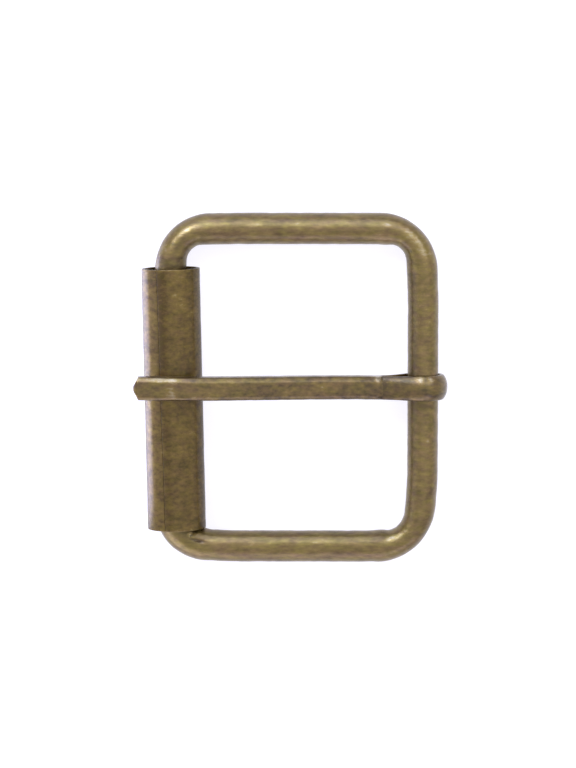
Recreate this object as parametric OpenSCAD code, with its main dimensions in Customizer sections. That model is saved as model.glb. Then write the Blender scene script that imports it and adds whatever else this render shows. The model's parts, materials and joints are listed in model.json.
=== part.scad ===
/* [Frame] */
// Width of the strap that the frame takes
strap_w = 40; // [25:1:60]
// Outer length of the frame along the strap
frame_l = 39.5; // [36:0.5:60]
// Diameter of the frame's wire
wire_d = 4.4; // [3.6:0.1:5.5]
// Radius of the inner side of each bend
bend_in_r = 2.15; // [1.8:0.05:3.5]
// How much thinner the wire gets in the middle of a bend
bend_thin = 0.45; // [0.2:0.05:0.7]

/* [Roller] */
// Thickness of the roller's sheet
roller_wall = 0.45; // [0.3:0.05:0.8]
// Space between the bar and the roller's bore, all round
roller_play = 1.4; // [1.2:0.05:2.2]
// How much shorter the roller is than the strap's width
roller_short = 3.75; // [2.5:0.25:6]
// Gap between the roller's lower end and the frame's lower bar
roller_end_gap = 0.5; // [0.3:0.05:1]
// How far the middle of the roller has rolled back from the bar
roller_shift = 0.5; // [0:0.05:0.6]
// How far each end of the roller lies to the side of its middle
roller_skew = 0.39; // [0:0.03:0.45]
// Width of the slit where the sheet's edges meet
seam_gap = 0.2; // [0.1:0.02:0.4]
// Angle of the slit from the top of the roller, towards the front
seam_angle = 31; // [0:1:80]

/* [Prong] */
// Diameter of the prong's wire
prong_d = 3.35; // [2.6:0.05:3.8]
// How far the tip reaches past the front of the roller
tip_over = 1.6; // [0.5:0.1:4]
// Angle by which the tip part is bent down from the body
tip_bend = 12; // [4:1:18]
// Distance of that bend behind the roller's axis
tip_bend_back = 1.9; // [0:0.1:6]
// Radius of the bend's centre line
tip_bend_r = 9; // [5:0.5:15]
// Radius of the blunt dome on the tip
dome_r = 1.9; // [1.9:0.05:2.6]
// Sideways place of the prong along the back bar
prong_y = 0.24; // [-6:0.02:6]
// Angle by which the prong points off the straight
prong_yaw = 0.6; // [0:0.1:1]

/* [Eye] */
// Space between the back bar and the eye
eye_gap = 0.1; // [0.06:0.01:0.3]
// Thickness of the flattened band in its middle
band_t = 1.15; // [0.8:0.05:1.5]
// How much wider the band is than the prong's wire
band_spread = 0.1; // [0:0.05:1]
// Radius of the band's rounded outer side
band_crown_r = 2.65; // [2.5:0.05:6]
// Distance from the eye's round part to the shoulder
neck_l = 2.1; // [1.6:0.1:4]
// Gap between the band's cut end and the shoulder
cut_gap = 0.14; // [0.08:0.02:0.4]

/* [Fits] */
// Smallest gap between the roller and the bar inside it
roller_gap = 0.15; // [0.1:0.01:0.2]
// Gap between the prong and the roller that it lies on
rest_gap = 0.1; // [0.05:0.01:0.2]

/* [Hidden] */
$fn = 96;

// Frame, drawn about the middle of its own outline
wire_r = wire_d / 2;
front_x = -(frame_l - wire_d) / 2;
back_x = -front_x;
side_y = (strap_w + wire_d) / 2;
inner_bend = bend_in_r + wire_r;
outer_bend = inner_bend + bend_thin / (sqrt(2) - 1);

// Roller
bore_r = wire_r + roller_play;
roller_r = bore_r + roller_wall;
roller_l = strap_w - roller_short;
roller_y = -strap_w / 2 + roller_end_gap + roller_l / 2;
roller_x = front_x + roller_shift;
roller_turn = asin(roller_skew / (roller_l / 2));

// Heights above the surface that the buckle lies on: the roller and the eye touch it, and the
// front bar hangs in the roller's bore until it nearly meets the wall where the skew is largest
bar_end_y = side_y - outer_bend;
side_off = roller_shift + (bar_end_y + roller_y) * sin(roller_turn);
front_drop = sqrt(pow(roller_play - roller_gap, 2) - pow(side_off, 2));
front_z = roller_r - front_drop;
eye_in_r = wire_r + eye_gap;
eye_r = eye_in_r + band_t;
back_z = eye_r;
frame_span = norm([back_x - front_x, back_z - front_z]);
frame_lean = atan2(back_z - front_z, back_x - front_x);

// Prong, drawn from the back bar's axis at [0, 0] with its body along +X: the tip part's centre
// line passes over the roller's axis at rest_h, which fixes how far the prong leans
prong_r = prong_d / 2;
shoulder_x = eye_r + neck_l;
axis_run = norm([back_x - roller_x, roller_r - back_z]);
axis_rise = atan2(roller_r - back_z, back_x - roller_x);
bend_at = axis_run - tip_bend_back;
rest_h = roller_r + rest_gap + prong_r;
tip_rise = asin((rest_h - bend_at * sin(tip_bend)) / axis_run) + axis_rise;
prong_rise = tip_rise + tip_bend;
tip_x = roller_x - roller_r - tip_over;
tip_l = (back_x - tip_x - bend_at * cos(prong_rise)) / cos(tip_rise);
bend_run = tip_bend_r * tan(tip_bend / 2);

// Stretches of the prong reach into each other by lap, and the bend stands proud by bend_swell
lap = 0.25;
bend_swell = 0.02;

// Eye: a round barrel on the back bar and a neck that narrows to the wire at neck_end. The neck's
// sides would touch the barrel at touch_turn to the body, and are drawn neck_ease short of that
band_w = prong_d + band_spread;
neck_ease = 0.5;
neck_end = shoulder_x + lap;
touch_turn = asin(eye_r / norm([neck_end, prong_r])) - atan2(prong_r, neck_end);
neck_turn = touch_turn - neck_ease;
neck_start = eye_in_r * sin(neck_turn);
slope = tan(neck_turn);

// The whole is centred between the prong's tip and the back of the eye
mid_x = (tip_x + back_x + eye_r) / 2;

// A quarter bend in the corner at [0, 0] whose legs run to -X and to -Y
module quarter_turn(r) {
    translate([-r, -r, 0]) rotate_extrude(angle = 90) translate([r, 0]) circle(r = wire_r);
}

// A straight wire from [0, 0] along +X
module rod(r, l) {
    rotate([0, 90, 0]) cylinder(r = r, h = l);
}

// The wire's inner side turns more tightly than its outer side, so it is thinner in mid-bend
module bend() {
    leg = outer_bend - inner_bend;
    intersection() {
        quarter_turn(outer_bend);
        union() {
            quarter_turn(inner_bend);
            translate([-outer_bend, 0, 0]) rod(wire_r, leg);
            translate([0, -outer_bend, 0]) rotate([0, 0, 90]) rod(wire_r, leg);
        }
    }
}

module ring() {
    span_x = frame_span - 2 * outer_bend;
    span_y = 2 * (side_y - outer_bend);
    for (end = [-1, 1]) {
        translate([-span_x / 2, end * side_y, 0]) rod(wire_r, span_x);
        translate([end * frame_span / 2, -span_y / 2, 0]) rotate([0, 0, 90]) rod(wire_r, span_y);
        for (side = [-1, 1]) {
            translate([end * frame_span / 2, side * side_y, 0])
                mirror([end < 0 ? 1 : 0, 0, 0]) mirror([0, side < 0 ? 1 : 0, 0]) bend();
        }
    }
}

module frame() {
    color([0.54, 0.47, 0.31])
        translate([-mid_x, 0, (front_z + back_z) / 2]) rotate([0, -frame_lean, 0]) ring();
}

module roller() {
    color([0.45, 0.38, 0.23])
        translate([roller_x - mid_x, roller_y, roller_r]) rotate([90, 0, roller_turn])
            difference() {
                cylinder(r = roller_r, h = roller_l, center = true);
                cylinder(r = bore_r, h = roller_l + 1, center = true);
                rotate([0, 0, seam_angle]) translate([-seam_gap / 2, 0, -roller_l])
                    cube([seam_gap, roller_r + 1, 2 * roller_l]);
            }
}

module barrel() {
    rotate([90, 0, 0]) rotate_extrude() intersection() {
        translate([0, -band_w / 2]) square([eye_r, band_w]);
        translate([eye_r - band_crown_r, 0]) circle(r = band_crown_r);
    }
}

module neck() {
    neck_run = neck_end - neck_start;
    intersection() {
        translate([neck_start, 0, 0]) rotate([0, 90, 0])
            cylinder(r1 = prong_r + neck_run * slope, r2 = prong_r - lap * slope, h = neck_run + lap);
        translate([0, -band_w / 2, -eye_r]) cube([2 * neck_end, band_w, 2 * eye_r]);
    }
}

// The hollow of the eye: the bore for the back bar, the wedge between the two stretches of band,
// and the gap between the upper stretch's cut end and the shoulder
module eye_hollow() {
    wedge_h = prong_r + neck_end * slope - band_t / cos(neck_turn);
    slot_r = wedge_h - shoulder_x * slope;
    rotate([90, 0, 0]) cylinder(r = eye_in_r, h = 2 * band_w, center = true);
    rotate([90, 0, 0]) linear_extrude(2 * band_w, center = true)
        polygon([[0, -wedge_h], [shoulder_x, -slot_r], [shoulder_x, slot_r], [0, wedge_h]]);
    translate([shoulder_x - cut_gap, -band_w, 0]) cube([cut_gap, 2 * band_w, eye_r]);
}

module tip_bend_arc() {
    translate([bend_at - bend_run, 0, -tip_bend_r]) rotate([90, 0, 0])
        rotate([0, 0, 90 - tip_bend]) rotate_extrude(angle = tip_bend)
            translate([tip_bend_r, 0]) circle(r = prong_r + bend_swell);
}

// Tip part along +X from the middle of the bend, with a blunt dome at its end
module tip() {
    difference() {
        translate([bend_run - lap, 0, 0]) rod(prong_r, tip_l - bend_run + lap);
        translate([tip_l - dome_r, 0, 0]) difference() {
            translate([0, -dome_r, -dome_r]) cube(2 * dome_r);
            sphere(r = dome_r);
        }
    }
}

module prong() {
    body_l = bend_at - bend_run + lap - neck_start;
    color([0.52, 0.45, 0.29])
        translate([back_x - mid_x, prong_y, back_z])
            rotate([0, 0, 180 - prong_yaw]) rotate([0, -prong_rise, 0])
                difference() {
                    union() {
                        barrel();
                        neck();
                        translate([neck_start, 0, 0]) rod(prong_r, body_l);
                        tip_bend_arc();
                        translate([bend_at, 0, 0]) rotate([0, tip_bend, 0]) tip();
                    }
                    eye_hollow();
                }
}

frame();
roller();
prong();
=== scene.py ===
# Antique brass roller buckle that lies on a pale table, seen from nearly straight above.
# Lengths are in metres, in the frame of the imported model, where the roller lies at the front, at -X,
# and +Z is up. mm turns a size in millimetres into metres.
import json
import math

import bpy
import numpy as np
from mathutils import Matrix, Vector


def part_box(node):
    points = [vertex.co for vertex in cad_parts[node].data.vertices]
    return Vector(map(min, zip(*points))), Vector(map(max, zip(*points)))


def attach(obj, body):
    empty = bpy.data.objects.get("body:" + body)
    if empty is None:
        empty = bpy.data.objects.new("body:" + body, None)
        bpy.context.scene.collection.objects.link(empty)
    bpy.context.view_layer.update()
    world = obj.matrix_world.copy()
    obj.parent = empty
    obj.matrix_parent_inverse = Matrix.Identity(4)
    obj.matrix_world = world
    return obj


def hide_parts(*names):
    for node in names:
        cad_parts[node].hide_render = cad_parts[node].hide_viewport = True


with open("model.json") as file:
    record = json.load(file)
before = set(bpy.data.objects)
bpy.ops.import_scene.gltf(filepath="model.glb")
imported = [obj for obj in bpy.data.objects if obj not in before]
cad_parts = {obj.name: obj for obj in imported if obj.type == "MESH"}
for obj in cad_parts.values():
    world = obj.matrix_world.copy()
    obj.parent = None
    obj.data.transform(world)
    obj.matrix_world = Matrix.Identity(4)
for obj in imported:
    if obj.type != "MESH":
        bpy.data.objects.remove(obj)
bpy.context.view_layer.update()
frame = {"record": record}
mm = 0.001
joints = {joint["name"]: joint for joint in frame["record"]["behaviour"]["joints"]}
print("buckle: packed frame loaded")


# Mesh helpers

def closedGrid(shape, wrap, startPole=None, endPole=None):
    # Quads between neighbouring rows of a grid whose rows are closed loops; wrap also joins the last
    # row to the first. A pole is the index of a point that a fan of triangles joins to an end row.
    index = np.arange(shape[0] * shape[1]).reshape(shape)
    here = index if wrap else index[:-1]
    there = np.roll(index, -1, axis=0) if wrap else index[1:]
    quads = np.stack([here, np.roll(here, -1, axis=1), np.roll(there, -1, axis=1), there], axis=-1)
    faces = quads.reshape(-1, 4).tolist()
    for pole, row, step in ((startPole, index[0], 1), (endPole, index[-1], -1)):
        if pole is not None:
            fan = np.stack([np.full(len(row), pole), np.roll(row, -step), row], axis=-1)
            faces += fan.tolist()
    return faces


def outwardMesh(name, points, faces, layers):
    # Makes the mesh object, with a vector or a number for each point in every layer. If its signed
    # volume, a sixth of the sum of a . (b x c) over the faces' triangles, is negative, every face is
    # turned round, so that all point outwards.
    mesh = bpy.data.meshes.new(name)
    mesh.from_pydata(points.tolist(), [], faces)
    mesh.calc_loop_triangles()
    corners = np.empty(len(mesh.loop_triangles) * 3, dtype=np.int32)
    mesh.loop_triangles.foreach_get("vertices", corners)
    a, b, c = points[corners.reshape(-1, 3)].transpose(1, 0, 2)
    if np.einsum("ij,ij->i", a, np.cross(b, c)).sum() < 0:
        mesh.flip_normals()
    for key, values in layers.items():
        kind = "FLOAT_VECTOR" if values.ndim == 2 else "FLOAT"
        layer = mesh.attributes.new(key, kind, "POINT")
        layer.data.foreach_set("vector" if values.ndim == 2 else "value", values.ravel())
    mesh.polygons.foreach_set("use_smooth", np.ones(len(mesh.polygons), dtype=bool))
    mesh.update()
    piece = bpy.data.objects.new(name, mesh)
    bpy.context.scene.collection.objects.link(piece)
    return piece


def smoothStep(x, low, high):
    # 0 below low and 1 above high, with a soft S between them
    t = np.clip((x - low) / (high - low), 0, 1)
    return t * t * (3 - 2 * t)


def softMin(a, b, reach):
    # The smaller of a and b, with a rounded change from one to the other
    share = np.clip(0.5 + 0.5 * (a - b) / reach, 0, 1)
    return a * (1 - share) + b * share - reach * share * (1 - share) / 2


def bell(x, middle, reach):
    # 1 at middle, and e to the power of minus the square of the distance over reach away from it
    return np.exp(-((x - middle) / reach) ** 2)


def runLength(points):
    # Distance walked along a row of points, starting at 0
    steps = np.linalg.norm(np.diff(points, axis=0), axis=1)
    return np.concatenate([[0], np.cumsum(steps)])


# Frame ring

ringLook = {
    "wire": 4.4 * mm,             # diameter of the wire
    "bends": {
        # Walked round the ring from +X +Y: outer and inner radius of each bend, how far the cross bar
        # and the side bar lean in towards it, and how far the side bar is pushed inwards beside it
        "backTop": (7.95 * mm, 2.2 * mm, 0.27 * mm, 0.0, 0.10 * mm),
        "frontTop": (7.70 * mm, 2.2 * mm, 0.18 * mm, 0.10 * mm, 0.0),
        "frontLow": (7.00 * mm, 3.7 * mm, 0.10 * mm, 0.26 * mm, 0.0),
        "backLow": (8.20 * mm, 2.6 * mm, 0.45 * mm, 0.0, 0.13 * mm),
    },
    "leanRun": 9.0 * mm,          # length over which a bar leans
    "crossFrom": (0.45, 0.75),    # where a cross bar's lean sets in and is full, shares of half the ring
    "sideFrom": (0.5, 0.75),      # the same for a side bar
    "backThin": 0.06 * mm,        # how much the back bar is narrower on each side
    "backFrom": (0.8, 1.0),       # where that sets in towards the back, shares of half the ring
    "backUntil": (0.6, 0.8),      # where it fades out along the bar
    "swellBack": 0.7 * mm,        # distance from a bend to the pushed spot beside it
    "swellReach": 1.1 * mm,       # how far along the bar that spot reaches
    "handmade": 0.018 * mm,       # height of the slow waves in the wire's surface
    "around": 96,                 # points round the wire
    "bendSteps": 56,              # points along a bend
    "barStep": 0.24 * mm,         # distance between points along a bar
    "stainFade": (-0.1, 0.3),     # height, as a share of the wire's radius, over which stains and painted light set in
    # Dents, stains and painted light of the upper side: place from above, degrees by which the mark is
    # turned, half its length and half its width, places and sizes in millimetres. Then a dent's depth in
    # millimetres, or how dark a mark is; a negative mark is bright, as worn spots and painted highlights
    # are.
    "dents": (
        ((-12.9, -21.15), -12, 0.70, 0.16, 0.28), ((-13.9, -20.3), 40, 0.35, 0.25, 0.08),
        ((12.2, 21.3), 10, 0.80, 0.35, 0.03), ((17.6, -6.2), 80, 0.70, 0.35, 0.03),
        ((-2.6, -22.4), 5, 0.90, 0.30, 0.03),
    ),
    "stains": (
        # The bright marks round the bends at -X +Y, +X +Y and +X -Y are painted highlights where the lamps
        # glint, and the bright flecks along the highlight bands of the top and bottom bars are rubbed brass
        # and painted highlight together.
        ((-13.9, 22.3), 25, 1.1, 0.30, -0.6), ((-15.2, 21.4), 45, 1.0, 0.35, -0.5),
        ((-17.2, 19.7), 80, 0.7, 0.50, -0.45), ((-15.6, 19.7), 60, 0.9, 0.45, 0.35),
        ((-18.1, 18.0), 80, 0.9, 0.50, 0.40), ((-14.5, 18.8), 70, 0.8, 0.40, 0.35),
        ((-10.8, 23.0), 0, 1.0, 0.25, -0.5), ((-4.5, 22.9), 5, 0.8, 0.30, -0.6),
        ((0.5, 22.9), 0, 1.0, 0.25, -0.5), ((6.8, 23.2), -8, 1.0, 0.22, -0.35),
        ((13.3, 22.9), 0, 0.7, 0.30, -0.6), ((10.1, 23.7), 10, 0.5, 0.20, 0.5),
        ((-1.7, 21.5), 0, 0.7, 0.20, 0.4), ((-9.9, 21.5), -10, 0.8, 0.20, 0.4),
        ((18.3, 19.3), -64, 1.6, 0.75, -0.5), ((16.8, 14.8), 90, 1.5, 0.35, 0.4),
        ((19.3, 9.4), 0, 0.5, 0.30, -0.4), ((19.2, 3.7), 0, 0.6, 0.25, -0.35),
        # (18.2, -2.4) is the painted shadow beside the prong's eye on the right bar.
        ((18.2, -2.4), 0, 2.0, 0.35, 0.5), ((19.1, -7.1), 0, 0.4, 0.35, -0.4),
        ((19.1, -11.8), 0, 0.5, 0.35, -0.35), ((19.4, -14.6), 0, 0.6, 0.50, 0.35),
        ((14.0, -20.8), 22, 1.1, 0.30, -0.95), ((-8.6, -21.2), 0, 2.2, 0.28, -0.4),
        ((3.6, -21.3), 0, 1.1, 0.25, -0.4), ((-6.3, -22.4), 0, 0.7, 0.25, 0.4),
        ((2.7, -23.0), 0, 0.6, 0.25, 0.4), ((9.2, -22.4), 0, 1.0, 0.40, 0.3),
        # (-13.8, -20.4) is a painted glint at the nick, (-12.9, -21.1) the painted shadow in it, and (-15.2,
        # -21.7) a painted sheen on the outer flank of the bend at -X -Y.
        ((12.3, -22.9), 0, 0.5, 0.20, 0.5), ((-13.8, -20.4), 0, 0.35, 0.30, -0.9),
        ((-12.9, -21.1), -12, 0.85, 0.12, 1.8), ((-15.2, -21.7), -30, 2.6, 0.80, -0.42),
        ((15.5, 22.1), -20, 1.4, 0.60, -0.45), ((17.0, 21.0), -42, 1.4, 0.75, -0.5),
        # These two long bands paint a darker reflection of the shaded floor on the inner flanks of the right
        # and bottom bars.
        ((17.1, 0.0), 90, 14.0, 0.60, 0.50), ((2.0, -20.35), 0, 14.0, 0.30, 0.30),
        ((-16.2, 17.6), 0, 2.2, 0.80, 0.45),
    ),
}


def ringOutline(look, half):
    # Outer and inner outline of the ring about its middle, point against point: four bends, each a
    # quarter circle, and straight bars between them. A bend's inner arc is tighter than its outer arc
    # and has a centre of its own, so the wire thins in mid-bend. Starts in the middle of the front bar.
    turn = np.linspace(0, math.pi / 2, look["bendSteps"])
    outer, inner = [], []
    for quarter, (bend, innerBend, *_) in enumerate(look["bends"].values()):
        angle = turn + quarter * math.pi / 2
        side = np.sign([math.cos(angle[1]), math.sin(angle[1])])
        arc = np.stack([np.cos(angle), np.sin(angle)], axis=-1)
        outer.append(side * (half - bend) + bend * arc)
        inner.append(side * (half - look["wire"] - innerBend) + innerBend * arc)
    runs = []
    for quarter in range(4):
        following = (quarter + 1) % 4
        gap = np.linalg.norm(outer[following][0] - outer[quarter][-1])
        share = np.linspace(0, 1, int(gap / look["barStep"]))[1:-1, None]
        runs += [np.stack([arcs[quarter] for arcs in (outer, inner)], axis=1),
                 np.stack([arcs[quarter][-1] * (1 - share) + arcs[following][0] * share
                           for arcs in (outer, inner)], axis=1)]
    outline = np.concatenate(runs)
    onFront = np.argmin(np.linalg.norm(outline.mean(axis=1) - np.array([-half[0], 0]), axis=1))
    return np.roll(outline, -onFront, axis=0)


def handBent(look, outline, half):
    # The ends of the bars lean in by an S-curve of the way along them, and the inner outline of a
    # side bar is pushed in by a bell-shaped bump beside each bend. The back bar is thinned likewise.
    x, y = outline[..., 0].copy(), outline[..., 1].copy()
    sides = ((1, 1), (-1, 1), (-1, -1), (1, -1))
    for (sideX, sideY), sizes in zip(sides, look["bends"].values()):
        bend, innerBend, crossLean, sideLean, swell = sizes
        onCross = smoothStep(sideX * x / half[0], *look["crossFrom"])
        onSide = smoothStep(sideY * y / half[1], *look["sideFrom"])
        bentY, bentX = (smoothStep(place, end - bend / 2 - look["leanRun"], end - bend / 2)
                        for place, end in ((sideY * y, half[1]), (sideX * x, half[0])))
        outline[..., 0] -= sideX * crossLean * onCross * bentY
        outline[..., 1] -= sideY * sideLean * onSide * bentX
        bumpX = half[0] - look["wire"] - innerBend - look["swellBack"]
        bump = bell(sideX * x[:, 1], bumpX, look["swellReach"]) * onSide[:, 1]
        outline[:, 1, 1] -= sideY * swell * bump
    onBack = smoothStep(x[:, 0] / half[0], *look["backFrom"])
    onBack *= 1 - smoothStep(np.abs(y[:, 0]) / half[1], *look["backUntil"])
    outline[..., 0] += look["backThin"] * onBack[:, None] * np.array([-1, 1])
    return outline


def bellSum(marks, flat):
    # Sum of bell shapes seen from above, each stretched along its own direction and as high as its
    # last number
    total = 0
    for place, turn, length, width, amount in marks:
        away = flat - np.array(place) * mm
        cosTurn, sinTurn = math.cos(math.radians(turn)), math.sin(math.radians(turn))
        along = (away[..., 0] * cosTurn + away[..., 1] * sinTurn) / (length * mm)
        across = (away[..., 1] * cosTurn - away[..., 0] * sinTurn) / (width * mm)
        total = total + amount * np.exp(-along ** 2 - across ** 2)
    return total


wavesLook = (
    # radians a millimetre, turns round the metal, radians at the start, share of the height
    (0.61, 1, 0.4, 1.0), (1.37, -2, 1.9, 0.7), (2.30, 3, 0.7, 0.45), (3.70, -1, 2.6, 0.3),
)


def slowWaves(along, around, height):
    # Gentle unevenness of worked metal: a sum of a few long waves along it, each turning at its own
    # pace round it, with along in millimetres and around in radians
    return height * sum(size * np.sin(pace * along + turns * around + start)
                        for pace, turns, start, size in wavesLook)


def makeRing(look):
    # A point on the ring is the middle of the two outlines, plus half their distance times the cosine
    # of the angle round the wire, plus the wire's radius times its sine upwards
    low, high = (np.array(corner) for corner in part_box("frame"))
    half = (high - low)[:2] / 2
    outline = handBent(look, ringOutline(look, half), half) + (low + high)[:2] / 2
    outer, inner = outline[:, 0], outline[:, 1]
    centre, reach = (outer + inner) / 2, (outer - inner) / 2
    radius = look["wire"] / 2
    along = runLength(np.concatenate([centre, centre[:1]]))[:-1] / mm
    angle = np.linspace(0, 2 * math.pi, look["around"], endpoint=False)
    grow = 1 - np.abs(slowWaves(along[:, None], angle[None, :], look["handmade"])) / radius
    seen = centre[:, None] + reach[:, None] * np.cos(angle)[:, None]
    grow -= bellSum(look["dents"], seen) * mm * (np.sin(angle) > 0) / radius
    stains = bellSum(look["stains"], seen) * smoothStep(np.sin(angle), *look["stainFade"])
    flat = centre[:, None] + reach[:, None] * (np.cos(angle) * grow)[..., None]
    rise = (high[2] - low[2] - look["wire"]) / (high[0] - low[0] - look["wire"])
    height = low[2] + radius + rise * (flat[..., 0] - low[0] - radius) + radius * np.sin(angle) * grow
    points = np.concatenate([flat, height[..., None]], axis=-1)
    piece = outwardMesh("frameRing", points.reshape(-1, 3),
                        closedGrid(points.shape[:2], True),
                        {"metalPlace": points.reshape(-1, 3) / mm, "stain": stains.ravel()})
    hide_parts("frame")
    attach(piece, "frame")
    return piece


# Roller sleeve

sleeveLook = {
    "wall": 0.45 * mm,            # thickness of the sheet
    "length": 36.25 * mm,         # length of the sleeve
    "seamGap": 0.02 * mm,         # slit between the sheet's edges
    "seamAngle": 24.7,            # degrees from the top of the sleeve towards the front
    "seamTwist": -5.2,            # degrees by which the slit wanders from one end to the other
    "step": 0.025 * mm,           # how far the front edge of the slit stands above the rear edge
    "stepReach": 2.0 * mm,        # how far round the sleeve that shows
    "rim": 0.07 * mm,             # rounding of the sheet's edges
    "rimSteps": 5,                # points along that rounding
    "sliver": 0.002 * mm,         # half the width of the strip that is left flat at each end
    "around": 150,                # points round one side of the sheet
    "lengthSteps": 120,           # rows along the sleeve
    "handmade": 0.014 * mm,       # height of the slow waves in the sheet
    "waveStretch": 0.8,           # below 1 those waves are longer than the ring's
    "slitStain": (0.3, 0.9 * mm),  # tarnish and painted shade on the front side of the slit: how dark, how far from it
    "endWear": (0.5, 0.2 * mm),   # rubbed rims of both ends: how bright, how far in
    "flankStain": (0.3, 0.72, 0.9),  # painted shade on the rear flank: how dark, where it sets in and is full
    "stainFade": (-0.1, 0.2),     # height, as a share of the radius, over which stains and painted light set in
    # Stains and painted light of the upper side as on the ring, placed from the sleeve's own middle
    "stains": (
        ((-2.7, 11.7), 0, 0.5, 0.30, -0.6), ((-1.1, -7.2), 0, 0.5, 0.30, -0.8),
        ((1.4, 14.9), 0, 1.6, 0.25, -0.4), ((-2.6, 16.5), 0, 0.8, 1.20, 0.35),
        # The long bands that run along the sleeve are painted light: the bright ones on its rear flank paint
        # a reflection, the dark one at (-1.5, 10.0) paints shade, and the dark one at (2.2, 3.0) beside the
        # prong is tarnish and painted shadow.
        ((3.4, 12.0), 90, 6.0, 0.35, -0.3), ((-0.6, -13.0), 20, 1.2, 0.60, 0.3),
        ((1.5, -9.0), 0, 0.9, 0.60, 0.35), ((2.2, 3.0), 90, 3.0, 0.50, 0.25),
        ((2.6, -10.0), 90, 7.0, 0.30, -0.25), ((3.0, -4.0), 90, 14.0, 0.35, -0.12),
        ((-1.5, 10.0), 90, 7.0, 0.50, 0.3), ((1.2, 14.0), 90, 3.0, 1.00, -0.25),
    ),
}


def sheetSection(look, inset, halfArc):
    # Outline of the flat sheet's cross-section, a rounded rectangle walked once round, drawn in by
    # inset: first the outer side, then one edge, the inner side and the other edge. s runs along the
    # sheet and n across it, and a corner is a quarter circle.
    corner = max(look["rim"] - inset, look["sliver"] / 2)
    reachS, reachN = halfArc - inset - corner, look["wall"] / 2 - inset - corner
    quarter = np.linspace(0, math.pi / 2, look["rimSteps"])
    side = np.linspace(-1, 1, look["around"])[1:-1] * reachS
    cornerS, cornerN = reachS + corner * np.sin(quarter), reachN + corner * np.cos(quarter)
    flatN = np.full_like(side, reachN + corner)
    s = np.concatenate([side, cornerS, cornerS[::-1], -side, -cornerS, -cornerS[::-1]])
    n = np.concatenate([flatN, cornerN, -cornerN[::-1], -flatN, -cornerN, cornerN[::-1]])
    return s, n


def rimFaces(shape, row, sidePoints):
    # Closes an end of the sheet: joins each point of the outer side to the point of the inner side
    # that faces it, walking the section from both its ends at once
    start = row * shape[1]
    half = shape[1] // 2
    offset = (half - sidePoints) // 2
    first = np.arange(-offset, half - offset) % shape[1]
    second = np.arange(shape[1] - offset - 1, half - offset - 1, -1) % shape[1]
    quads = np.stack([first[:-1], first[1:], second[1:], second[:-1]], axis=-1) + start
    return (quads if row == 0 else quads[:, ::-1]).tolist()


def sleeveStainAndPaintedLight(look, away, s, fromSeam, fromEnd, angle):
    # Tarnish and painted shade fade out from the slit on one side of it, and painted shade sets in on the
    # rear flank by an S-curve of the distance to the rear, a share of the radius. The rims of both ends are
    # rubbed bright.
    (slitDark, slitReach), (endBright, endReach) = look["slitStain"], look["endWear"]
    flankDark, *flankRun = look["flankStain"]
    spots = bellSum(look["stains"], away[..., :2]) * smoothStep(np.cos(angle), *look["stainFade"])
    return (slitDark * bell(fromSeam, 0, slitReach) * (s < 0) - endBright * bell(fromEnd, 0, endReach)
            + flankDark * smoothStep(np.sin(angle), *flankRun) + spots)


def makeSleeve(look):
    # The sheet's section is bent round the sleeve's axis: distance along the section becomes angle,
    # distance across it becomes radius. Towards the slit one edge rises and the other one sinks.
    axis = Vector(joints["roller_spin"]["axis"]).normalized()
    middle = np.array(joints["roller_spin"]["pos_m"])
    low, high = (np.array(corner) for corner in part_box("roller"))
    midRadius = (high[2] - low[2]) / 2 - look["wall"] / 2
    halfArc = math.pi * midRadius - look["seamGap"] / 2
    quarter = np.linspace(0, math.pi / 2, look["rimSteps"])
    inset = look["rim"] * (1 - np.sin(quarter))
    flatInset = [look["wall"] / 2 - look["sliver"]]
    insets = np.concatenate([flatInset, inset, np.zeros(look["lengthSteps"]), inset[::-1], flatInset])
    half = look["length"] / 2
    endY = half - look["rim"] + look["rim"] * np.cos(quarter)
    bodyY = np.linspace(-half + look["rim"], half - look["rim"], look["lengthSteps"] + 2)[1:-1]
    rows = np.concatenate([[-half], -endY, bodyY, endY[::-1], [half]])
    sections = [sheetSection(look, value, halfArc) for value in insets]
    s = np.stack([section[0] for section in sections])
    n = np.stack([section[1] for section in sections])
    along = rows[:, None] + np.zeros_like(s)
    fromSeam = halfArc + look["seamGap"] / 2 - np.abs(s)
    step = -np.sign(s) * look["step"] / 2 * np.exp(-fromSeam / look["stepReach"])
    waves = -np.abs(slowWaves(along / mm * look["waveStretch"], s / midRadius, look["handmade"]))
    radius = midRadius + n + step + waves
    seam = math.radians(look["seamAngle"]) - math.radians(look["seamTwist"]) * along / look["length"]
    angle = s / midRadius + math.pi - seam
    up = Vector((0, 0, 1))
    across = axis.cross(up).normalized()
    points = (middle + np.array(axis) * along[..., None]
              + np.array(across) * (radius * np.sin(angle))[..., None]
              + np.array(up) * (radius * np.cos(angle))[..., None])
    faces = closedGrid(points.shape[:2], False)
    for row in (0, len(points) - 1):
        faces += rimFaces(points.shape, row, look["around"] - 2)
    sheet = np.stack([s, along, n], axis=-1) / mm
    stains = sleeveStainAndPaintedLight(look, points - middle, s, fromSeam, half - np.abs(along), angle)
    piece = outwardMesh("rollerSleeve", points.reshape(-1, 3), faces,
                        {"metalPlace": sheet.reshape(-1, 3), "stain": stains.ravel()})
    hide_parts("roller")
    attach(piece, "roller")
    return piece


# Prong

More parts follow.
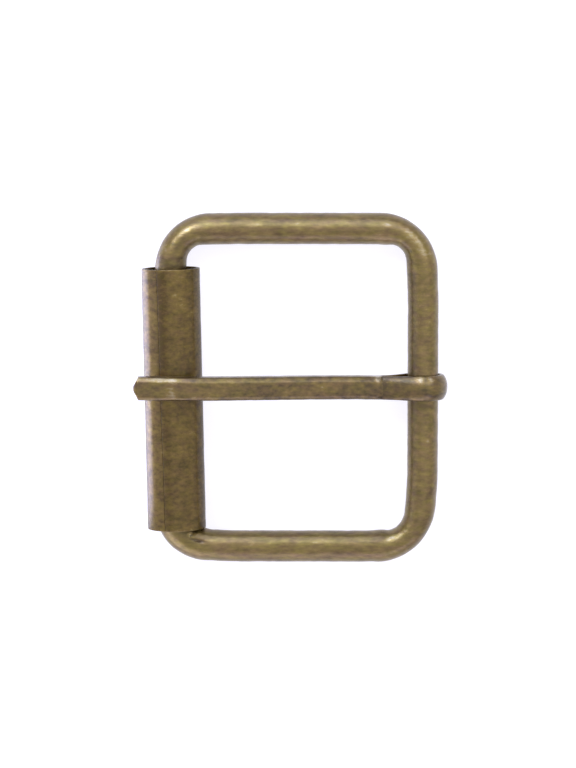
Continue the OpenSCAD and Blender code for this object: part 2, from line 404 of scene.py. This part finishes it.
prongLook = {
    "width": 3.35 * mm,           # width of the flattened wire
    "thick": 2.95 * mm,           # its thickness
    "square": 3.8,                # 2 makes the wire's section an oval, more makes it a rounded block
    "bevel": (0.55, 30.0),        # worn upper edge: where it starts, a share of half the width; degrees
    "bevelRim": 0.12 * mm,        # rounding between the bevel and the top
    "restGap": 0.1 * mm,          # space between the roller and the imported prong
    "yaw": 0.6,                   # degrees by which the prong points off the straight
    "tipBend": 12.0,              # degrees by which the tip part is bent down
    "bendBack": 1.9 * mm,         # distance of that bend behind the roller's axis
    "bendRadius": 9.0 * mm,       # radius of that bend
    "tipShort": 0.15 * mm,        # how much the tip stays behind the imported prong's tip
    "tipPart": 1.2 * mm,          # length of the tip that has closer rows and leans
    "tipNose": 0.31 * mm,         # rounding of the blunt tip's nose, seen from above
    "tipFlare": 1.6,              # how steeply the tip widens behind its nose
    "tipRim": 0.12 * mm,          # rounding where the flare meets the wire's sides
    "tipEdge": 0.75 * mm,         # rounding of the tip's upper and lower edge
    "tipThin": 0.35,              # share of the thickness that is left at the very tip
    "tipLean": 0.04,              # how much further the tip reaches on its upper side
    "eyeGap": 0.1 * mm,           # space between the bar and the band
    "band": 1.12 * mm,            # thickness of the flattened band
    "bandWidth": (3.20 * mm, 3.47 * mm),  # width of the band at the shoulder and on the bar
    "bandPower": (0.62, 0.5),     # roundness of its section across and upwards; 1 makes an oval
    "crown": (0.22 * mm, 0.44 * mm),  # how much lower its edges are than its middle: neck, eye
    "neck": 2.5 * mm,             # distance from the eye's round part to the shoulder
    "eyeBlend": 4.0 * mm,         # length over which the neck's section turns into the eye's
    "swage": (2.6 * mm, 0.2 * mm),  # where the wire turns into band: before and past the shoulder
    "crownRun": 1.5 * mm,         # length before the shoulder over which the wire gets its crown
    "squareRun": 1.6 * mm,        # length over which the band's ends turn square to the wire
    "cutTuck": 0.10 * mm,         # how far the band's cut end is pressed into the shoulder
    "cutDrop": 0.01 * mm,         # how much lower the cut end lies than the shoulder
    "cutRim": 0.02 * mm,          # rounding of the cut end
    "shoulderRim": 0.03 * mm,     # rounding of the shoulder's upper edge
    "lastRow": 0.002 * mm,        # distance from that rounding to the band's first row
    "upset": (0.16 * mm, 0.78 * mm, 0.45 * mm),  # bulge before the shoulder: height, distance, reach
    "aside": (-0.12 * mm, 4.5 * mm, 4.5 * mm),  # bent aside: how far, where from the bar, over what
    "lowerHalf": (-0.35, 0.5),    # depth, a share of half the thickness, over which wire turns into band
    "upperHalf": (0.1, 0.75),     # height over which the crown, the bulge and the rounded edge set in
    "around": 88,                 # points round the wire
    # rows on the closely spaced part of the tip, the rest of the tip part, its bend, the body, the
    # shoulder's edge, each side of the neck, the eye and the rounding of the cut end
    "rows": {"tip": 24, "tipPart": 40, "bend": 9, "body": 120, "edge": 7, "neck": 26, "eye": 110, "cut": 5},
    "handmade": 0.012 * mm,       # height of the slow waves in the wire's surface
    # Wear, tarnish and painted light. A strength, then a place and a reach, or where it sets in and is full.
    "wornEdge": (0.78, 0.22),     # line along the upper edges, shares of half the width
    "edgeWear": 0.1,              # how worn that line is all along
    "tipWear": (0.50, 5.6 * mm, 7.4 * mm),  # how much more near the nose at +Y, rubbed brass and painted highlight, and where that fades out
    "bulgeWear": (2.3, 0.62 * mm, 0.45 * mm),  # painted highlight on the bulge at +Y, from the shoulder
    "dullBody": (0.4, 4.5 * mm, 1.5 * mm),  # how much less before the bulge, from the shoulder
    "bendWear": (0.5, 5.5 * mm, 1.0 * mm),  # painted highlight across the tip part's bend, from the nose
    "shoulderStain": (0.4, 0, 0.35 * mm),  # tarnish and painted shade in the shoulder's crease
    "eyeEdge": (0.76, 0.24),      # line along one edge of the eye, shares of half its width
    "eyeWear": ((0.825, 1.15 * mm, 0.4 * mm), (0.935, -0.35 * mm, 0.5 * mm)),  # two painted highlights, from the eye's top
    "eyeStain": (0.2, 0.45 * mm, 0.25 * mm),  # painted shade between those two spots
    "neckStain": (0.25, 1.4 * mm, 2.4 * mm),  # from the eye's top
    "cutStain": (0.35, 0, 0.5 * mm),  # tarnish and painted shade, from the cut end
}
farAway = 1.0                     # metres, longer than any distance on the prong


def softPower(x, power):
    # The power of the size of x, with the sign of x
    return np.sign(x) * np.abs(x) ** power


def bandSection(look, eyeInner, onBar, angle):
    # A rounded rectangle, from a power of the sine and cosine, whose outer side falls away to both
    # edges with the square of the distance from its middle. onBar blends from the neck to the eye.
    across = softPower(np.sin(angle), look["bandPower"][0])
    level = 1 + softPower(np.cos(angle), look["bandPower"][1])
    width, crown = (ends[0] + (ends[1] - ends[0]) * onBar for ends in (look["bandWidth"], look["crown"]))
    return width * across / 2, eyeInner + (look["band"] - crown * across ** 2) * level / 2


def prongFrame(look):
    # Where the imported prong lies: its pivot, how far it rises, where it bends and how long its tip
    # part is. The tip part lies on the roller and passes the roller's axis at the distance clear,
    # which is bendAt * sin(tipBend) + axisRun * sin(tipRise - the angle up to that axis).
    pivot = np.array(joints["prong_swing"]["pos_m"])
    rollerAxis = np.array(joints["roller_spin"]["pos_m"])
    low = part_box("prong")[0]
    run, lift = pivot[0] - rollerAxis[0], rollerAxis[2] - pivot[2]
    axisRun = math.hypot(run, lift)
    tipBend = math.radians(look["tipBend"])
    bendAt = axisRun - look["bendBack"]
    rollerRadius = rollerAxis[2]  # the roller touches the table
    clear = rollerRadius + look["restGap"] + look["width"] / 2
    tipRise = math.asin((clear - bendAt * math.sin(tipBend)) / axisRun) + math.atan2(lift, run)
    rise = tipRise + tipBend
    tipLength = (pivot[0] - low[0] - bendAt * math.cos(rise)) / math.cos(tipRise) - look["tipShort"]
    return pivot, rise, tipBend, bendAt, tipLength


def wireRows(look, shoulder, tipBend, bendAt, tipLength):
    # Rows of the wire from the tip to the shoulder, along a straight line, an arc and a straight
    # line: a foot in the prong's own plane, where the back bar's axis is 0, 0, the angle by which the
    # row leans, and how far it is from the tip, or farAway past the tip part
    rows = look["rows"]
    bendRun = look["bendRadius"] * math.tan(tipBend / 2)
    close = look["tipPart"] * (1 - np.cos(np.linspace(0, math.pi / 2, rows["tip"])))
    tipRun = np.concatenate([tipLength - close,
                             np.linspace(tipLength - look["tipPart"], bendRun, rows["tipPart"])[1:]])
    tipFoot = np.stack([bendAt + tipRun * math.cos(tipBend), -tipRun * math.sin(tipBend)], axis=-1)
    arc = np.linspace(tipBend, 0, rows["bend"])[1:]
    arcFoot = np.stack([bendAt - bendRun + look["bendRadius"] * np.sin(arc),
                        look["bendRadius"] * (np.cos(arc) - 1)], axis=-1)
    rimPart = look["shoulderRim"] * (1 - np.sin(np.linspace(0, math.pi / 2, rows["edge"])))
    body = np.linspace(bendAt - bendRun, shoulder + look["shoulderRim"], rows["body"])
    bodyRun = np.concatenate([body[1:-1], shoulder + rimPart, [shoulder - look["lastRow"]]])
    bodyFoot = np.stack([bodyRun, np.zeros_like(bodyRun)], axis=-1)
    foot = np.concatenate([tipFoot, arcFoot, bodyFoot])
    lean = np.concatenate([np.full(len(tipRun), tipBend), arc, np.zeros(len(bodyRun))])
    fromTip = np.concatenate([tipLength - tipRun, np.full(len(arc) + len(bodyRun), farAway)])
    return foot, lean, fromTip


def wireStainAndPaintedLight(look, fromNose, ahead, across, isUpper):
    # A worn line runs along the upper edges. At +Y it is brightest on the tip part, where it is rubbed brass
    # and painted highlight, and on the bulge, where it is a painted highlight, and before the bulge it gives
    # way to tarnish. The tip part's bend has a painted highlight right across.
    (tip, *tipRun), (bulge, *bulgePlace) = look["tipWear"], look["bulgeWear"]
    (dull, dullFrom, dullFull), (bend, *bendPlace) = look["dullBody"], look["bendWear"]
    shoulder, *shoulderPlace = look["shoulderStain"]
    line = bell(np.abs(across), *look["wornEdge"]) * isUpper
    most = tip * (1 - smoothStep(fromNose, *tipRun)) + bulge * bell(ahead, *bulgePlace)
    worn = most * (across > 0) + look["edgeWear"] - dull * (1 - smoothStep(ahead, dullFull, dullFrom))
    return shoulder * bell(ahead, *shoulderPlace) - bend * bell(fromNose, *bendPlace) * isUpper - worn * line


def wirePart(look, shoulder, eyeInner, place, angle):
    # The wire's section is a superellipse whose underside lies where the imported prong's does. At the
    # tip its half width is the flare times the root of d * d + 2 * nose * d, with d the distance from
    # the tip, and its thickness follows a small rounding. Towards the shoulder its lower half turns
    # into the band's outer side, while its upper side takes on the band's crown, a small bulge and a
    # rounded edge. The bevel is a plane that cuts off the upper edge on the side of +Y.
    tipBend, bendAt, tipLength = place
    foot, lean, fromTip = wireRows(look, shoulder, tipBend, bendAt, tipLength)
    halfWidth, halfThick = look["width"] / 2, look["thick"] / 2
    edge = np.sqrt(1 - (np.maximum(look["tipEdge"] - fromTip, 0) / look["tipEdge"]) ** 2)
    reach = look["tipFlare"] * np.sqrt(fromTip ** 2 + 2 * look["tipNose"] * fromTip)
    reach = softMin(halfWidth, reach, look["tipRim"])
    thin = look["tipThin"] + (1 - look["tipThin"]) * edge
    thin[0] = 0
    fromNose = runLength(foot)[:, None]
    wave = 1 - np.abs(slowWaves(fromNose / mm, angle, look["handmade"])) / halfWidth
    across = reach[:, None] * softPower(np.sin(angle), 2 / look["square"]) * wave
    level = (halfWidth - halfThick
             + halfThick * thin[:, None] * softPower(np.cos(angle), 2 / look["square"]) * wave)
    bevelStart, bevelTilt = look["bevel"]
    bevel = (halfWidth - halfThick * (1 + thin[:, None])
             + math.tan(math.radians(bevelTilt)) * np.maximum(across - bevelStart * halfWidth, 0))
    level = np.where(np.cos(angle) < 0, -softMin(-level, -bevel, look["bevelRim"]), level)
    ahead = np.where(fromTip < farAway, farAway, foot[:, 0]) - shoulder
    swage = 1 - smoothStep(ahead, -look["swage"][1], look["swage"][0])[:, None]
    bandAcross, bandLevel = bandSection(look, eyeInner, 0, angle)
    share = swage * smoothStep(np.cos(angle), *look["lowerHalf"])
    across = across * (1 - share) + bandAcross * share
    level = level * (1 - share) + (bandLevel - eyeInner - look["band"] + halfWidth) * share
    upper = smoothStep(-np.cos(angle), *look["upperHalf"])
    inRim = np.clip(1 - ahead / look["shoulderRim"], 0, 1)
    sink = look["shoulderRim"] * (1 - np.sqrt(1 - inRim ** 2))
    height, *bulgePlace = look["upset"]
    crown = look["crown"][0] * (1 - smoothStep(ahead, 0, look["crownRun"]))
    level += ((sink - height * bell(ahead, *bulgePlace))[:, None]
              + crown[:, None] * (across / halfWidth) ** 2) * upper
    outward = np.stack([-np.sin(lean), -np.cos(lean)], axis=-1)
    plane = foot[:, None] + outward[:, None] * level[..., None]
    plane[..., 0] += look["tipLean"] * across * np.exp(-fromTip / look["tipPart"])[:, None]
    stain = wireStainAndPaintedLight(look, fromNose, ahead[:, None], across / halfWidth, np.cos(angle) < 0)
    return plane, across, level, stain


def bandStainAndPaintedLight(look, fromTop, across):
    # The neck is dull, the cut end has tarnish and painted shade, and one edge of the eye's top has two
    # painted highlights with a band of painted shade between them
    (neck, *neckRun), (cut, *cutPlace) = look["neckStain"], look["cutStain"]
    between, *betweenPlace = look["eyeStain"]
    spots = sum(worn * bell(fromTop, *place) for worn, *place in look["eyeWear"])
    return (neck * smoothStep(fromTop, *neckRun) + cut * bell(fromTop[-1] - fromTop, *cutPlace)
            + between * bell(fromTop, *betweenPlace) - spots * bell(across, *look["eyeEdge"]))


def bandPart(look, shoulder, eyeInner, angle):
    # The band leaves the shoulder along the underside on a line tangent to the eye, turns once round
    # the bar on a circle and comes back along the top on another tangent. Its first and last rows are
    # sheared until they stand square to the wire, and the cut end is rounded.
    eyeOuter = eyeInner + look["band"]
    top = look["thick"] - look["width"] / 2 - look["cutDrop"]
    lowTurn, highTurn = (math.asin(eyeOuter / math.hypot(shoulder, edge)) - math.atan2(edge, shoulder)
                         for edge in (look["width"] / 2, top))
    lowRun, highRun = ((shoulder - eyeOuter * math.sin(turn)) / math.cos(turn)
                       for turn in (lowTurn, highTurn))
    rows = look["rows"]
    outRun, backRun = np.linspace(lowRun, 0, rows["neck"])[:-1], np.linspace(0, highRun, rows["neck"])[1:]
    sweep = np.linspace(-lowTurn, math.pi + highTurn, rows["eye"])
    cut = np.linspace(0, math.pi / 2, rows["cut"])[1:]
    run = np.concatenate([outRun, np.zeros(len(sweep)), backRun, np.full(len(cut), highRun)])
    turn = np.concatenate([np.full(len(outRun), -lowTurn), sweep,
                           np.full(len(backRun) + len(cut), math.pi + highTurn)])
    uncut = np.zeros(len(run) - len(cut))
    shrink = np.concatenate([uncut, look["cutRim"] * (1 - np.cos(cut))])[:, None]
    rim = np.concatenate([uncut, look["cutRim"] * np.sin(cut)])
    isLow = turn < math.pi / 2
    foot = run[:, None] * np.abs(np.stack([np.cos(turn), np.sin(turn)], axis=-1))
    foot[~isLow, 1] *= -1
    outward = np.stack([-np.sin(turn), -np.cos(turn)], axis=-1)
    onBar = 1 - smoothStep(run, 0, look["eyeBlend"])
    across, level = bandSection(look, eyeInner, onBar[:, None], angle)
    across = across * (1 - 2 * shrink / look["width"])
    middle = eyeInner + look["band"] / 2
    level = middle + (level - middle) * (1 - 2 * shrink / look["band"])
    plane = foot[:, None] + outward[:, None] * level[..., None]
    endRun = np.where(isLow, lowRun, highRun)
    square = smoothStep(run, endRun - look["squareRun"], endRun)
    endX = np.where(isLow, shoulder, shoulder + look["cutTuck"] - look["cutRim"] + rim)
    rowX = foot[:, 0] + outward[:, 0] * eyeOuter + square * (endX - shoulder)
    plane[..., 0] += square[:, None] * (rowX[:, None] - plane[..., 0])
    fromTop = np.where(isLow, -farAway, run + (turn - math.pi) * eyeOuter)[:, None]
    return plane, across, level, bandStainAndPaintedLight(look, fromTop, across / look["bandWidth"][1] * 2)


def makeProng(look):
    # Both parts are one sweep in the prong's own plane, which is then leaned up by the prong's rise
    # and turned to face the front
    pivot, rise, *place = prongFrame(look)
    eyeInner = ringLook["wire"] / 2 + look["eyeGap"]
    shoulder = eyeInner + look["band"] + look["neck"]
    angle = np.linspace(0, 2 * math.pi, look["around"], endpoint=False)
    parts = (wirePart(look, shoulder, eyeInner, place, angle), bandPart(look, shoulder, eyeInner, angle))
    plane, side, level, stain = (np.concatenate(pair) for pair in zip(*parts))
    ahead = plane[..., 0] * math.cos(rise) - plane[..., 1] * math.sin(rise)
    above = plane[..., 0] * math.sin(rise) + plane[..., 1] * math.cos(rise)
    bent, *bentPlace = look["aside"]
    side = side + bent * bell(ahead, *bentPlace)
    yaw = math.radians(look["yaw"])
    points = np.stack([pivot[0] - ahead * math.cos(yaw) + side * math.sin(yaw),
                       pivot[1] + ahead * math.sin(yaw) + side * math.cos(yaw),
                       pivot[2] + above], axis=-1)
    centre = points.mean(axis=1)
    along = runLength(centre)
    rod = np.stack(np.broadcast_arrays(along[:, None], side, level), axis=-1).reshape(-1, 3) / mm
    rod = np.concatenate([rod, [[0, 0, 0]], [[along[-1] / mm, 0, 0]]])
    stain = np.concatenate([stain.ravel(), [0], [look["cutStain"][0]]])
    count = points.shape[0] * len(angle)
    piece = outwardMesh("prongWire", np.concatenate([points.reshape(-1, 3), centre[:1], centre[-1:]]),
                        closedGrid(points.shape[:2], False, count, count + 1),
                        {"metalPlace": rod, "stain": stain})
    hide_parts("prong")
    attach(piece, "prong")
    return piece


ring = makeRing(ringLook)
sleeve = makeSleeve(sleeveLook)
prong = makeProng(prongLook)
print("buckle: ring, sleeve and prong made")


# Finish

def feed(tree, socket, value):
    # Links the socket to value, or sets it where value is a number or a colour of three numbers
    if isinstance(value, bpy.types.NodeSocket):
        tree.links.new(value, socket)
    else:
        socket.default_value = (*value, 1) if isinstance(value, tuple) else value


def feedAll(tree, node, values):
    for label, value in values.items():
        feed(tree, node.inputs[label], value)


def newGroup(name, inputs, outputs):
    group = bpy.data.node_groups.new(name, "ShaderNodeTree")
    for label, kind, value in inputs:
        socket = group.interface.new_socket(label, in_out="INPUT", socket_type=kind)
        if value is not None:
            socket.default_value = value
    for label, kind in outputs:
        group.interface.new_socket(label, in_out="OUTPUT", socket_type=kind)
    return group, group.nodes.new("NodeGroupInput"), group.nodes.new("NodeGroupOutput")


def addMath(tree, operation, first, second):
    node = tree.nodes.new("ShaderNodeMath")
    node.operation = operation
    feed(tree, node.inputs[0], first)
    feed(tree, node.inputs[1], second)
    return node.outputs[0]


def addClamp(tree, value):
    clamp = tree.nodes.new("ShaderNodeClamp")
    feed(tree, clamp.inputs["Value"], value)
    return clamp.outputs["Result"]


def addMix(tree, factor, first, second):
    mix = tree.nodes.new("ShaderNodeMix")
    mix.data_type = "RGBA"
    feedAll(tree, mix, {"Factor": factor, "A": first, "B": second})
    return mix.outputs["Result"]


def addAttribute(tree, name, output):
    attribute = tree.nodes.new("ShaderNodeAttribute")
    attribute.attribute_name = name
    return attribute.outputs[output]


def addGroup(tree, group, values):
    node = tree.nodes.new("ShaderNodeGroup")
    node.node_tree = group
    feedAll(tree, node, values)
    return node


def addStretch(tree, place, stretch):
    mapping = tree.nodes.new("ShaderNodeMapping")
    mapping.inputs["Scale"].default_value = stretch
    tree.links.new(place, mapping.inputs["Vector"])
    return mapping.outputs["Vector"]


def addNoise(tree, place, scale, roughness):
    # Cloudy noise between 0 and 1, about 0.5 on average
    noise = tree.nodes.new("ShaderNodeTexNoise")
    feedAll(tree, noise, {"Vector": place, "Scale": scale, "Detail": 3, "Roughness": roughness})
    return noise.outputs["Fac"]


patinaLook = {
    # how many there are on a millimetre at size 1, and how rough their shapes are
    "clouds": (0.45, 0.5),
    "flecks": (1.35, 0.6),
    "tones": (0.75, 0.5),
    "toneStretch": (0.9, 1.2, 1.2),
    "toneContrast": 3.2,
    "fleckShare": 0.6,            # how much the flecks count against the clouds
    "wornGain": 1.2,              # how soon the metal is bright beyond the rubbed tone
}
grainLook = {
    # the same for the dapples and the fine lines of the surface
    "dapples": (1.2, 0.55),
    "lines": (1.1, 0.6),
    "lineStretch": (0.5, 7, 7),
}


def buildPatinaGroup(look):
    # Dark tarnish left in clouds and in small flecks, added to the mesh's stains and painted light. The
    # first output is 1 where the metal is dark with tarnish and painted shade, the second is 1 where it is
    # rubbed bright and where painted highlights lie, and Warmth tells the purplish brown places from the
    # olive ones.
    group, inside, outside = newGroup(
        "patinaClouds",
        [("Place", "NodeSocketVector", None), ("Size", "NodeSocketFloat", 1.0),
         ("Amount", "NodeSocketFloat", 0.5), ("Contrast", "NodeSocketFloat", 3.0),
         ("Stain", "NodeSocketFloat", 0.0)],
        [("Tarnish", "NodeSocketFloat"), ("Worn", "NodeSocketFloat"), ("Warmth", "NodeSocketFloat")])
    place = inside.outputs["Place"]
    tonePlace = addStretch(group, place, look["toneStretch"])
    clouds, flecks, tone = (
        addNoise(group, where, addMath(group, "DIVIDE", scale, inside.outputs["Size"]), roughness)
        for where, (scale, roughness) in ((place, look["clouds"]), (place, look["flecks"]),
                                          (tonePlace, look["tones"])))
    both = addMath(group, "ADD", addMath(group, "MULTIPLY", clouds, 1 - look["fleckShare"]),
                   addMath(group, "MULTIPLY", flecks, look["fleckShare"]))
    centred = addMath(group, "MULTIPLY", addMath(group, "SUBTRACT", both, 0.5), inside.outputs["Contrast"])
    raised = addMath(group, "ADD", addMath(group, "ADD", centred, inside.outputs["Amount"]),
                     inside.outputs["Stain"])
    worn = addMath(group, "MULTIPLY", raised, -look["wornGain"])
    spread = addMath(group, "MULTIPLY", addMath(group, "SUBTRACT", tone, 0.5), look["toneContrast"])
    warmth = addMath(group, "ADD", spread, 0.5)
    for label, value in (("Tarnish", raised), ("Worn", worn), ("Warmth", warmth)):
        group.links.new(addClamp(group, value), outside.inputs[label])
    return group


def buildGrainGroup(look):
    # Surface relief: fine lines along the metal and a soft dappled unevenness, as one height
    group, inside, outside = newGroup(
        "tumbledGrain",
        [("Place", "NodeSocketVector", None), ("Dapple", "NodeSocketFloat", 1.0),
         ("Lines", "NodeSocketFloat", 0.4)],
        [("Height", "NodeSocketFloat")])
    place = inside.outputs["Place"]
    dapple = addNoise(group, place, *look["dapples"])
    lines = addNoise(group, addStretch(group, place, look["lineStretch"]), *look["lines"])
    height = addMath(group, "ADD", addMath(group, "MULTIPLY", dapple, inside.outputs["Dapple"]),
                     addMath(group, "MULTIPLY", lines, inside.outputs["Lines"]))
    group.links.new(height, outside.inputs["Height"])
    return group


patinaGroup = buildPatinaGroup(patinaLook)
grainGroup = buildGrainGroup(grainLook)

brassLooks = {
    # grain stretches the patterns along each direction where it is below 1. edge is below 1 where the
    # metal mirrors less at grazing angles. gold and rose are rubbed tones, olive and purple tarnished
    # ones, and the brightest tone serves both rubbed spots and painted highlights. size, amount and
    # contrast are those of the tarnish, smooth and dull the roughness of rubbed and of tarnished metal,
    # dapple, lines and relief its unevenness.
    "ring": {"name": "ringBrass", "grain": (0.5, 1.1, 1.1), "worn": (0.38, 0.32, 0.22), "edge": 0.8,
             "gold": (0.208, 0.154, 0.036), "rose": (0.210, 0.138, 0.050), "olive": (0.092, 0.066, 0.012),
             "purple": (0.094, 0.055, 0.022), "size": 0.8, "amount": 0.43, "contrast": 2.9,
             "smooth": 0.36, "dull": 0.50, "dapple": 1.0, "lines": 0.25, "relief": 0.07 * mm,
             "coat": 0.75, "coatRough": 0.28},
    "sleeve": {"name": "sleeveBrass", "grain": (0.7, 1.1, 0.8), "worn": (0.32, 0.25, 0.12), "edge": 0.4,
               "gold": (0.152, 0.103, 0.021), "rose": (0.152, 0.096, 0.027), "olive": (0.065, 0.043, 0.007),
               "purple": (0.074, 0.042, 0.013), "size": 0.65, "amount": 0.51, "contrast": 3.5,
               "smooth": 0.36, "dull": 0.50, "dapple": 0.8, "lines": 0.3, "relief": 0.05 * mm,
               "coat": 0.55, "coatRough": 0.24},
    "prong": {"name": "prongBrass", "grain": (0.6, 1, 1), "worn": (0.36, 0.30, 0.20), "edge": 0.8,
              "gold": (0.174, 0.121, 0.024), "rose": (0.170, 0.104, 0.035), "olive": (0.064, 0.044, 0.007),
              "purple": (0.064, 0.036, 0.014), "size": 0.8, "amount": 0.45, "contrast": 3.8,
              "smooth": 0.30, "dull": 0.46, "dapple": 0.9, "lines": 0.3, "relief": 0.05 * mm,
              "coat": 0.85, "coatRough": 0.25},
}


def antiqueBrass(look):
    # Lacquered satin brass: rubbed metal with tarnish left on it, which is both darker and duller. The
    # roughness is smooth plus the tarnish times the difference between dull and smooth. The mesh's marks
    # darken it as tarnish and painted shade, and turn it towards the brightest tone as wear and painted
    # highlights.
    material = bpy.data.materials.new(look["name"])
    material.use_nodes = True
    tree = material.node_tree
    shader = tree.nodes["Principled BSDF"]
    feedAll(tree, shader, {"Metallic": 1.0, "Specular Tint": (look["edge"],) * 3, "Coat IOR": 1.5,
                           "Coat Weight": look["coat"], "Coat Roughness": look["coatRough"]})
    place = addStretch(tree, addAttribute(tree, "metalPlace", "Vector"), look["grain"])
    patina = addGroup(tree, patinaGroup, {
        "Place": place, "Size": look["size"], "Amount": look["amount"], "Contrast": look["contrast"],
        "Stain": addAttribute(tree, "stain", "Fac")})
    tarnish = addMix(tree, patina.outputs["Warmth"], look["olive"], look["purple"])
    rubbed = addMix(tree, patina.outputs["Warmth"], look["gold"], look["rose"])
    dark = addMix(tree, patina.outputs["Tarnish"], rubbed, tarnish)
    colour = addMix(tree, patina.outputs["Worn"], dark, look["worn"])
    duller = addMath(tree, "MULTIPLY", patina.outputs["Tarnish"], look["dull"] - look["smooth"])
    grain = addGroup(tree, grainGroup, {"Place": place, "Dapple": look["dapple"], "Lines": look["lines"]})
    bump = tree.nodes.new("ShaderNodeBump")
    feedAll(tree, bump, {"Strength": 1.0, "Distance": look["relief"], "Height": grain.outputs["Height"]})
    feedAll(tree, shader, {"Base Color": colour, "Roughness": addMath(tree, "ADD", duller, look["smooth"]),
                           "Normal": bump.outputs["Normal"]})
    return material


for piece, look in zip((ring, sleeve, prong), brassLooks.values()):
    piece.data.materials.append(antiqueBrass(look))
print("buckle: antique brass finish on all pieces")


# Table, light and camera

tableLook = {
    "size": 1.6,
    "colour": (0.30, 0.30, 0.31),
    "glow": (0.79, 0.78, 0.86),   # light of its own, which keeps it pale and its shadows faint
    "roughness": 0.9,
}
lightLook = {
    "room": ((0.98, 0.97, 1.0), 0.82),  # colour and strength of the light from all round
    "lamps": {
        # Place, what it is aimed at, width, height, power in watts and colour of each soft lamp. The
        # two low ones at -X light the roller's front flank, down to its lowest part.
        "topCard": ((0.12, 0.0, 0.50), (0, 0, 0), 0.60, 0.50, 0.30, (1.0, 0.98, 0.98)),
        "backBank": ((-0.045, 0.170, 0.130), (0, 0, 0), 0.20, 0.18, 0.255, (0.61, 0.70, 1.0)),
        "keyLamp": ((-0.105, 0.140, 0.177), (0, 0, 0), 0.09, 0.07, 0.20, (0.80, 0.86, 1.0)),
        "cornerLamp": ((0.112, 0.124, 0.186), (0, 0, 0), 0.18, 0.15, 0.14, (0.80, 0.86, 1.0)),
        "frontCard": ((-0.05, -0.28, 0.085), (0, 0, 0), 0.70, 0.16, 0.50, (0.70, 0.66, 1.0)),
        "frontLamp": ((-0.21, -0.21, 0.075), (0, 0, 0), 0.24, 0.18, 0.26, (0.78, 0.80, 1.0)),
        "rightCard": ((0.30, 0.0, 0.095), (0, 0, 0), 0.40, 0.15, 0.06, (1.0, 0.93, 0.80)),
        "leftCard": ((-0.30, 0.0, 0.110), (0, 0, 0), 0.40, 0.22, 0.09, (1.0, 0.97, 0.97)),
        "lowCard": ((-0.30, 0.0, 0.025), (0, 0, 0), 0.40, 0.05, 0.08, (0.62, 0.62, 1.0)),
        "leftGlow": ((-0.0365, 0.0, 0.002), (-0.0365, 0.0, 0.0), 0.025, 0.040, 0.068, (0.58, 0.62, 1.0)),
    },
}
cameraLook = {
    "place": (-0.8 * mm, 49.4 * mm, 466.0 * mm),
    "target": (-0.34 * mm, 0.545 * mm, 3.2 * mm),
    "focal": 156.9,               # millimetres
    "sensor": 36,                 # height of the sensor in millimetres
    "nearest": 0.01,              # how near a thing may be to be seen
}


def makeTable(look):
    half = look["size"] / 2
    mesh = bpy.data.meshes.new("tableTop")
    corners = [(-half, -half, 0), (half, -half, 0), (half, half, 0), (-half, half, 0)]
    mesh.from_pydata(corners, [], [(0, 1, 2, 3)])
    table = bpy.data.objects.new("tableTop", mesh)
    bpy.context.scene.collection.objects.link(table)
    material = bpy.data.materials.new("paleTable")
    material.use_nodes = True
    feedAll(material.node_tree, material.node_tree.nodes["Principled BSDF"],
            {"Base Color": look["colour"], "Roughness": look["roughness"],
             "Emission Color": look["glow"], "Emission Strength": 1.0})
    mesh.materials.append(material)


def aimed(place, target):
    # A matrix at place whose -Z looks at target and whose up is as near to +Y as it can be
    back = (Vector(place) - Vector(target)).normalized()
    right = Vector((0, 1, 0)).cross(back).normalized()
    turned = Matrix((right, back.cross(right), back)).transposed().to_4x4()
    return Matrix.Translation(place) @ turned


def makeLights(look):
    world = bpy.data.worlds.new("paleRoom")
    world.use_nodes = True
    roomColour, strength = look["room"]
    feedAll(world.node_tree, world.node_tree.nodes["Background"],
            {"Color": roomColour, "Strength": strength})
    bpy.context.scene.world = world
    for name, (place, target, width, height, power, colour) in look["lamps"].items():
        lamp = bpy.data.lights.new(name, "AREA")
        lamp.shape = "RECTANGLE"
        lamp.size, lamp.size_y = width, height
        lamp.energy = power
        lamp.color = colour
        holder = bpy.data.objects.new(name, lamp)
        holder.matrix_world = aimed(place, target)
        holder.visible_camera = False
        bpy.context.scene.collection.objects.link(holder)


def makeCamera(look):
    camera = bpy.data.cameras.new("aboveCamera")
    camera.sensor_fit = "VERTICAL"
    camera.sensor_height = look["sensor"]
    camera.lens = look["focal"]
    camera.clip_start = look["nearest"]
    holder = bpy.data.objects.new("aboveCamera", camera)
    holder.matrix_world = aimed(look["place"], look["target"])
    bpy.context.scene.collection.objects.link(holder)
    bpy.context.scene.camera = holder


makeTable(tableLook)
makeLights(lightLook)
makeCamera(cameraLook)
bpy.context.scene.view_settings.view_transform = "Standard"
print("buckle: table, lights and camera placed")
